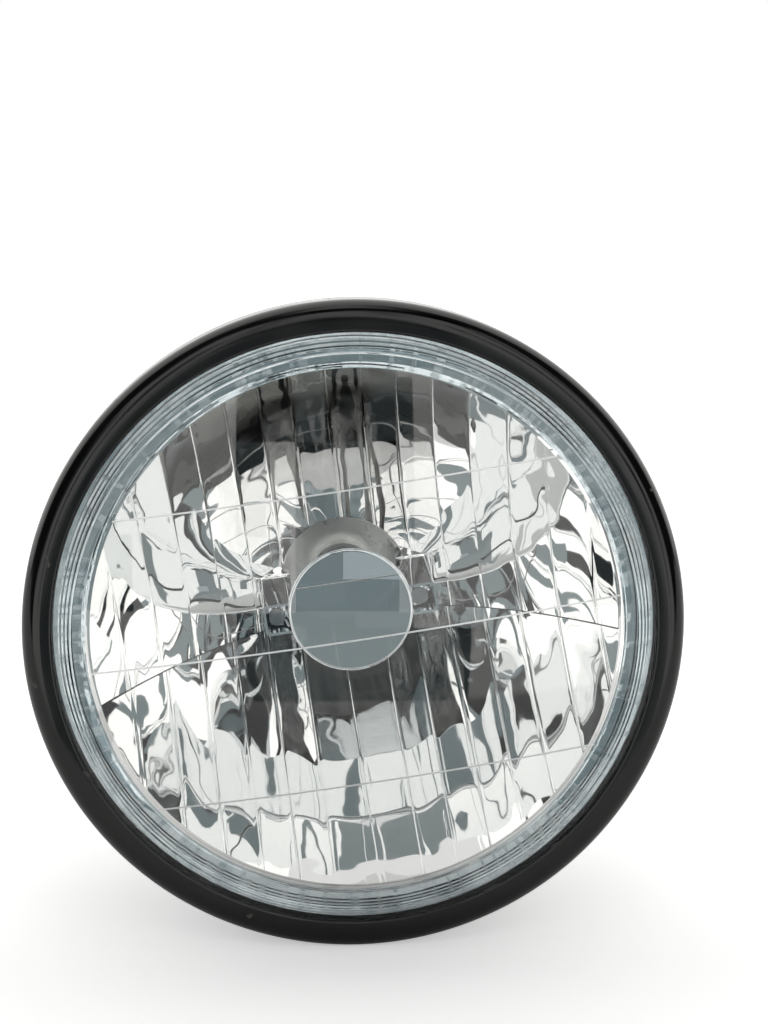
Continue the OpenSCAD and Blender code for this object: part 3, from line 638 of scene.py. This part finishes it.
shell_enamel = enamel("satin_black_enamel", "#0f0f10", 7.0)
shell_profile = shell_line(0) + shell_line(shell_sheet)[::-1]
shell = turned("shell_bowl", shell_profile, shell_enamel, segments=384, smooth_under=40)
cut_round(shell, [
    ((0, 0, 0), (1, 0, 0), pad_r - 1.0, pad_drill),
    (spoke_at(270, drain_z, shell_r), (0, 0, 1), drain_r, sheet_drill),
    ((0, -shell_back_z, grommet_y), (0, 1, 0), grommet_hole_r, sheet_drill),
] + [(spoke_at(a, screw_z, shell_r), spoke_at(a, 0, 1), screw_r + 0.2, sheet_drill)
     for a in screw_angles])
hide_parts("shell")
pad_profile = [
    (mount_hole_r, pad_x - shell_sheet), (mount_hole_r, pad_x - 0.2), (mount_hole_r + 0.2, pad_x),
    (pad_r - 0.9, pad_x), (pad_r - 0.2, pad_x - 0.25), (pad_r + 0.15, pad_x - 0.8),
    (pad_r + 0.75, pad_x - 2.4), (pad_r + 1.6, pad_x - 4.2), (pad_r + 2.4, pad_x - 6.4),
    (pad_r + 1.2, pad_x - 6.4), (pad_r - 0.6, pad_x - 2.4), (pad_r - 1.1, pad_x - shell_sheet),
]
for side, label in ((-1, "left"), (1, "right")):
    vertices = []
    for k in range(128):
        c, s = math.cos(math.tau * k / 128), math.sin(math.tau * k / 128)
        vertices += [(side * x, r * c, r * s) for r, x in pad_profile]
    n = len(pad_profile)
    faces = [(k * n + i, (k + 1) % 128 * n + i, (k + 1) % 128 * n + (i + 1) % n, k * n + (i + 1) % n)
             for k in range(128) for i in range(n)]
    pad = object_from(f"bracket_pad_{label}", vertices, faces, shell_enamel)


# Rim screws and washers
# M5 cross-recessed pan heads on plain washers, turned steel with bright zinc plating.
def zinc_plate(name):
    """Bright zinc: a bluish plated skin over steel, dulled by handling in soft patches."""
    material, tree = finish_named(name)
    place = add(tree, "ShaderNodeTexCoord").outputs["Object"]
    patches = add(tree, "ShaderNodeTexNoise", {"Vector": place, "Scale": per_mm(6), "Detail": 4.0})
    rough = add(tree, "ShaderNodeMapRange", {
        "Value": patches.outputs["Fac"],
        "From Min": 0.3, "From Max": 0.7, "To Min": 0.2, "To Max": 0.42})
    shader = add(tree, "ShaderNodeBsdfPrincipled", {
        "Base Color": linear("#b9bdc0"), "Roughness": rough.outputs[0]})
    shader.inputs["Metallic"].default_value = 1.0
    surface_of(tree, shader)
    return material


zinc = zinc_plate("bright_zinc_plate")
washer_t = 1.0
head_r = 4.375
head_h = 2.5
recess_w = 1.1
recess_r = 2.3
head_profile = (
    [(0.0, head_h)] + [(head_r * 0.55, head_h - 0.12)]
    + arc(head_r - 1.3, head_h - 1.3, 1.3, 75, 0, 8) + [(head_r, 0.1), (head_r - 0.1, 0.0), (0.0, 0.0)]
)
washer_profile = [
    (screw_r + 0.2, 0.0), (2 * screw_r - 0.15, 0.0), (2 * screw_r, 0.15), (2 * screw_r, washer_t - 0.2),
    (2 * screw_r - 0.2, washer_t), (screw_r + 0.35, washer_t), (screw_r + 0.2, washer_t - 0.15),
]


def stood_out(made, angle, level, r):
    """Stands a piece that was turned about the axis out on the shell at an angle and a level."""
    out = Vector(spoke_at(angle, 0, 1))
    turn = Vector((0, -1, 0)).rotation_difference(out).to_matrix().to_4x4()
    made.data.transform(Matrix.Translation(Vector(spoke_at(angle, level, r)) * mm) @ turn)


for angle, label in zip(screw_angles, ("left", "right")):
    head = turned(f"rim_screw_{label}", head_profile, zinc, segments=64, closed=False)
    blades = bmesh.new()
    for across in ((recess_w, 2 * recess_r), (2 * recess_r, recess_w)):
        matrix = Matrix.Diagonal((across[0] * mm, 2.4 * mm, across[1] * mm, 1))
        bmesh.ops.create_cube(blades, size=1, matrix=Matrix.Translation((0, -head_h * mm, 0)) @ matrix)
    recess_mesh = bpy.data.meshes.new("recess")
    blades.to_mesh(recess_mesh)
    blades.free()
    recess = bpy.data.objects.new("recess", recess_mesh)
    bpy.context.scene.collection.objects.link(recess)
    change = head.modifiers.new("recess", "BOOLEAN")
    change.operation = "DIFFERENCE"
    change.solver = "EXACT"
    change.use_self = True
    change.object = recess
    head.data = bpy.data.meshes.new_from_object(
        head.evaluated_get(bpy.context.evaluated_depsgraph_get()))
    head.modifiers.clear()
    bpy.data.objects.remove(recess)
    stood_out(head, angle, screw_z, shell_r + washer_t)
    washer = turned(f"rim_washer_{label}", washer_profile, zinc, segments=64)
    stood_out(washer, angle, screw_z, shell_r)
    if label == "left":
        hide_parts("rim_screws")
        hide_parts("rim_washers")


# Mount nuts
# M8 weld nuts behind the pads, with chamfered corners and a cut thread that takes the
# bracket bolts; zinc plated like the screws.
nut_low, nut_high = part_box("mount_nut_right")
nut_in, nut_out = nut_low.x / mm, nut_high.x / mm
nut_flat = 6.5
nut_chamfer_r = 7.1
thread_r = 3.4
thread_h = 0.35
thread_pitch = 1.25
thread_profile = [(thread_r + thread_h * (i % 2), nut_out - thread_pitch * i / 2) for i in range(13)]
for side, label in ((-1, "left"), (1, "right")):
    vertices = []
    n = len(thread_profile) + 3
    for k in range(96):
        t = math.tau * k / 96
        c, s = math.cos(t), math.sin(t)
        sixth = (t + math.pi / 6) % (math.pi / 3) - math.pi / 6
        hex_r = nut_flat / math.cos(sixth)
        ring = thread_profile + [
            (thread_r + 0.2, nut_in), (hex_r, nut_in), (min(hex_r, nut_chamfer_r), nut_out)]
        vertices += [(side * x, r * c, r * s) for r, x in ring]
    faces = [(k * n + i, (k + 1) % 96 * n + i, (k + 1) % 96 * n + (i + 1) % n, k * n + (i + 1) % n)
             for k in range(96) for i in range(n)]
    nut = object_from(f"mount_nut_m8_{label}", vertices, faces, zinc, smooth_under=25)
    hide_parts(f"mount_nut_{label}")


# Cable grommet
# Moulded black rubber, pushed into the back of the shell so that its lip springs out
# inside; matt, with the faint bloom that rubber gets.
def moulded_rubber(name, code):
    """Moulded rubber: matt and dark, slightly dusty, with a fine mould texture."""
    material, tree = finish_named(name)
    place = add(tree, "ShaderNodeTexCoord").outputs["Object"]
    bloom = add(tree, "ShaderNodeTexNoise", {"Vector": place, "Scale": per_mm(5), "Detail": 5.0})
    grain = add(tree, "ShaderNodeTexNoise", {"Vector": place, "Scale": per_mm(0.6), "Detail": 2.0})
    colour = add(tree, "ShaderNodeMix", {
        "Factor": bloom.outputs["Fac"], "A": linear(code), "B": linear("#2b2a29")}, data_type="RGBA")
    bump = add(tree, "ShaderNodeBump", {
        "Height": grain.outputs["Fac"], "Strength": 0.3, "Distance": 0.03 * mm})
    shader = add(tree, "ShaderNodeBsdfPrincipled", {
        "Base Color": colour.outputs["Result"], "Normal": bump.outputs[0]})
    shader.inputs["Roughness"].default_value = 0.62
    surface_of(tree, shader)
    return material


black_rubber = moulded_rubber("moulded_black_rubber", "#161616")
grommet_back = -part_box("cable_grommet")[1].y / mm
grommet_bore_r = 9.0
grommet_lip_z = shell_back_z + shell_sheet
grommet_profile = (
    [(grommet_bore_r + 0.6, grommet_back)] + arc(14.0, grommet_back + 1.0, 1.0, -90, 0, 6)
    + arc(14.4, shell_back_z - 0.6, 0.6, 0, 90, 4)
    + [(grommet_hole_r, shell_back_z), (grommet_hole_r, grommet_lip_z), (13.5, grommet_lip_z)]
    + [(13.3, grommet_lip_z + 0.7), (12.3, grommet_lip_z + 2.4), (grommet_bore_r, grommet_lip_z + 2.4)]
    + [(grommet_bore_r, grommet_back + 0.6), (grommet_bore_r + 0.2, grommet_back + 0.15)]
)
grommet = turned(
    "cable_grommet_rubber", grommet_profile, black_rubber, segments=128, shift=(0, grommet_y))
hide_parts("cable_grommet")


# Bulb, clip, boot and ring fixings
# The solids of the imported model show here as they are: nickel-plated bulb base, tungsten and
# molybdenum wires, spring clip, rubber boot, clear silicone under the glass and plated straps.
def metal(name, code, low, high, grain_size):
    """A plated or drawn metal whose gloss varies in grains of a size."""
    material, tree = finish_named(name)
    place = add(tree, "ShaderNodeTexCoord").outputs["Object"]
    grain = add(tree, "ShaderNodeTexNoise", {
        "Vector": place, "Scale": per_mm(grain_size), "Detail": 3.0})
    rough = add(tree, "ShaderNodeMapRange", {
        "Value": grain.outputs["Fac"], "From Min": 0.3, "From Max": 0.7, "To Min": low, "To Max": high})
    shader = add(tree, "ShaderNodeBsdfPrincipled", {
        "Base Color": linear(code), "Roughness": rough.outputs[0]})
    shader.inputs["Metallic"].default_value = 1.0
    surface_of(tree, shader)
    return material


def silicone(name):
    """Clear silicone between glass and flange: it wets both, so the aluminium shows through it."""
    material, tree = finish_named(name)
    place = add(tree, "ShaderNodeTexCoord").outputs["Object"]
    cloud = add(tree, "ShaderNodeTexNoise", {"Vector": place, "Scale": per_mm(7), "Detail": 2.0})
    colour = add(tree, "ShaderNodeMix", {
        "Factor": cloud.outputs["Fac"],
        "A": linear("#dfe5e8"), "B": linear("#f4f7f8")}, data_type="RGBA")
    shader = add(tree, "ShaderNodeBsdfTransparent", {"Color": colour.outputs["Result"]})
    surface_of(tree, shader)
    return material


def thin_quartz(name):
    """Quartz so thin that it hardly bends the light: seen through, with a faint gloss."""
    material, tree = finish_named(name)
    through = add(tree, "ShaderNodeBsdfTransparent")
    gloss = add(tree, "ShaderNodeBsdfAnisotropic", {"Roughness": 0.0})
    shader = add(tree, "ShaderNodeMixShader", {"Fac": 0.06, 1: through.outputs[0], 2: gloss.outputs[0]})
    surface_of(tree, shader)
    return material


nickel = metal("nickel_plate", "#ecece9", 0.25, 0.35, 4)
drawn_wire = metal("drawn_spring_wire", "#9c9fa1", 0.2, 0.4, 1.5)
lamp_wire = metal("molybdenum_wire", "#8d8c88", 0.3, 0.5, 1)
tinned_brass = metal("tinned_brass", "#c9b075", 0.22, 0.4, 3)
phenolic = moulded_rubber("moulded_phenolic", "#222120")
clear_silicone = silicone("clear_silicone")
quartz = thin_quartz("thin_quartz")
finish_of = {
    "lens_seal": clear_silicone, "bulb_glass": quartz, "bulb_filaments": lamp_wire,
    "bulb_base": nickel, "bulb_insulator": phenolic, "bulb_terminals": tinned_brass,
    "bulb_clip": drawn_wire, "dust_boot": black_rubber, "rim_seal": black_rubber,
    "cable_grommet": black_rubber, "shell": shell_enamel, "trim_ring": black_enamel,
    "lens": clear_glass, "reflector": mirror_coat, "bulb_shield": shield_finish,
}
for name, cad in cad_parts.items():
    cad.data.materials.clear()
    cad.data.materials.append(finish_of.get(name, zinc))


# Studio
# A pale table under the ring's edge, white soft boxes and cards around it, and between them
# the slate walls and the dark camera stand, which the mirror inside the lamp shows.
def plain_table(name):
    """White laminate, see-through from below so that low views look past it."""
    material, tree = finish_named(name)
    laminate = add(tree, "ShaderNodeBsdfDiffuse", {"Color": linear("#f4f4f4")})
    path = add(tree, "ShaderNodeLightPath")
    glow = add(tree, "ShaderNodeEmission", {"Strength": path.outputs["Is Camera Ray"]})
    glow.inputs["Color"].default_value = (0.44, 0.44, 0.44, 1)
    top = add(tree, "ShaderNodeAddShader", {0: laminate.outputs[0], 1: glow.outputs[0]})
    below = add(tree, "ShaderNodeBsdfTransparent")
    side = add(tree, "ShaderNodeNewGeometry")
    both = add(tree, "ShaderNodeMixShader", {
        "Fac": side.outputs["Backfacing"], 1: top.outputs[0], 2: below.outputs[0]})
    surface_of(tree, both)
    return material


tilt = math.radians(view_roll)
studio_up = Vector((math.sin(tilt), 0, math.cos(tilt)))
studio_right = Vector((math.cos(tilt), 0, -math.sin(tilt)))
table_front = 280
table_reach = 3000
table_gap = 0.02
corners = [studio_up * -(rim_r + table_gap) + studio_right * x + Vector((0, y, 0)) for x, y in (
    (-table_reach, -table_front), (table_reach, -table_front),
    (table_reach, table_reach), (-table_reach, table_reach))]
table_mesh = bpy.data.meshes.new("table")
table_mesh.from_pydata([c * mm for c in corners], [], [(0, 1, 2, 3)])
table_mesh.materials.append(plain_table("white_laminate"))
table = bpy.data.objects.new("table", table_mesh)
bpy.context.scene.collection.objects.link(table)

soft_white = [1.35, 1.35, 1.32, 1]
room_white = [0.9, 0.9, 0.9, 1]
side_wall = [0.05, 0.05, 0.052, 1]
slate = [0.20, 0.245, 0.255, 1]
light_slate = [0.27, 0.315, 0.32, 1]
pale_slate = [0.42, 0.48, 0.50, 1]
dark = [0.006, 0.006, 0.007, 1]
# Bands of the studio from the table's edge up to the ceiling: the band's top and its
# colours from left to right in front, each with the angle where it begins. The walls at
# the sides are dark, and behind the lamp all is white.
bands = [
    (-20.0, [(-50, room_white)]),
    (-13.5, [(-50, soft_white), (-9, light_slate), (14, soft_white)]),
    (-12.85, [(-50, soft_white), (-9, slate), (14, soft_white)]),
    (-11.3, [(-50, soft_white), (-9, slate), (2.3, pale_slate), (8, soft_white)]),
    (-4.0, [(-50, soft_white), (-24, slate), (-19, soft_white), (-3, slate), (6, soft_white),
            (25, slate), (29, soft_white)]),
    (5.0, [(-50, slate), (-42, soft_white), (-26, slate), (-21, soft_white), (-9, slate),
           (-6, soft_white), (-4, dark), (0, slate), (3, dark), (6, slate), (8, soft_white),
           (24, slate), (31, dark), (36, soft_white)]),
    (11.0, [(-50, slate), (-38, soft_white), (-24, slate), (-17, soft_white), (-9, dark), (-4, slate),
            (-1, dark), (4, slate), (8, soft_white), (22, dark), (26, slate), (32, soft_white)]),
    (17.5, [(-50, slate), (-38, soft_white), (-27, dark), (-23, slate), (-19, soft_white), (-11, dark),
            (-8, slate), (-4, dark), (-2, slate), (3, dark), (5, slate), (7, soft_white), (20, slate),
            (26, soft_white)]),
    (24.0, [(-50, slate), (-38, soft_white), (-29, dark), (-24, slate), (-19, soft_white), (-12, slate),
            (-8, soft_white), (-4, slate), (0, dark), (1, soft_white), (19, slate),
            (26, soft_white)]),
    (33.0, [(-50, soft_white), (-28, slate), (-24, dark), (-21, soft_white), (-15, slate),
            (-12, soft_white), (-5, slate), (-3.5, dark), (-3, soft_white), (17, dark), (21, soft_white),
            (40, dark), (46, soft_white)]),
    (52.0, [(-50, slate), (-42, soft_white), (-18, dark), (-13, soft_white), (8, slate),
            (12, soft_white), (36, dark), (42, soft_white)]),
    (72.0, [(-50, dark)]),
    (90.0, [(-50, soft_white)]),
]
world = bpy.data.worlds.new("studio")
bpy.context.scene.world = world
world.use_nodes = True
sky = world.node_tree
sky.nodes.clear()
way = add(sky, "ShaderNodeTexCoord").outputs["Generated"]
across = add(sky, "ShaderNodeVectorMath", {0: way, 1: tuple(studio_right)}, operation="DOT_PRODUCT")
ahead = add(sky, "ShaderNodeVectorMath", {0: way, 1: (0.0, -1.0, 0.0)}, operation="DOT_PRODUCT")
rise = add(sky, "ShaderNodeVectorMath", {0: way, 1: tuple(studio_up)}, operation="DOT_PRODUCT")
bearing = add(sky, "ShaderNodeMath", {
    0: across.outputs["Value"], 1: ahead.outputs["Value"]}, operation="ARCTAN2")
bearing_part = add(sky, "ShaderNodeMapRange", {
    "Value": bearing.outputs[0], "From Min": -math.pi, "From Max": math.pi})
colour = None
for i, (top, stops) in enumerate(bands):
    strip = add(sky, "ShaderNodeValToRGB", {"Fac": bearing_part.outputs[0]})
    strip.color_ramp.interpolation = "CONSTANT"
    elements = strip.color_ramp.elements
    while len(elements) > 1:
        elements.remove(elements[-1])
    elements[0].position = 0.0
    elements[0].color = soft_white
    for angle, tone in [(-100, side_wall)] + stops + [(50, side_wall), (100, soft_white)]:
        elements.new((angle + 180) / 360).color = tone
    if colour is None:
        colour = strip.outputs["Color"]
        continue
    above = add(sky, "ShaderNodeMath", {
        0: rise.outputs["Value"], 1: math.sin(math.radians(bands[i - 1][0]))}, operation="GREATER_THAN")
    mixed = add(sky, "ShaderNodeMix", {
        "Factor": above.outputs[0], "A": colour, "B": strip.outputs["Color"]}, data_type="RGBA")
    colour = mixed.outputs["Result"]
studio = add(sky, "ShaderNodeBackground", {"Color": colour})
backdrop = add(sky, "ShaderNodeBackground", {"Color": (1.0, 1.0, 1.0, 1.0)})
path = add(sky, "ShaderNodeLightPath")
seen = add(sky, "ShaderNodeMixShader", {
    "Fac": path.outputs["Is Camera Ray"], 1: studio.outputs[0], 2: backdrop.outputs[0]})
add(sky, "ShaderNodeOutputWorld", {"Surface": seen.outputs[0]})
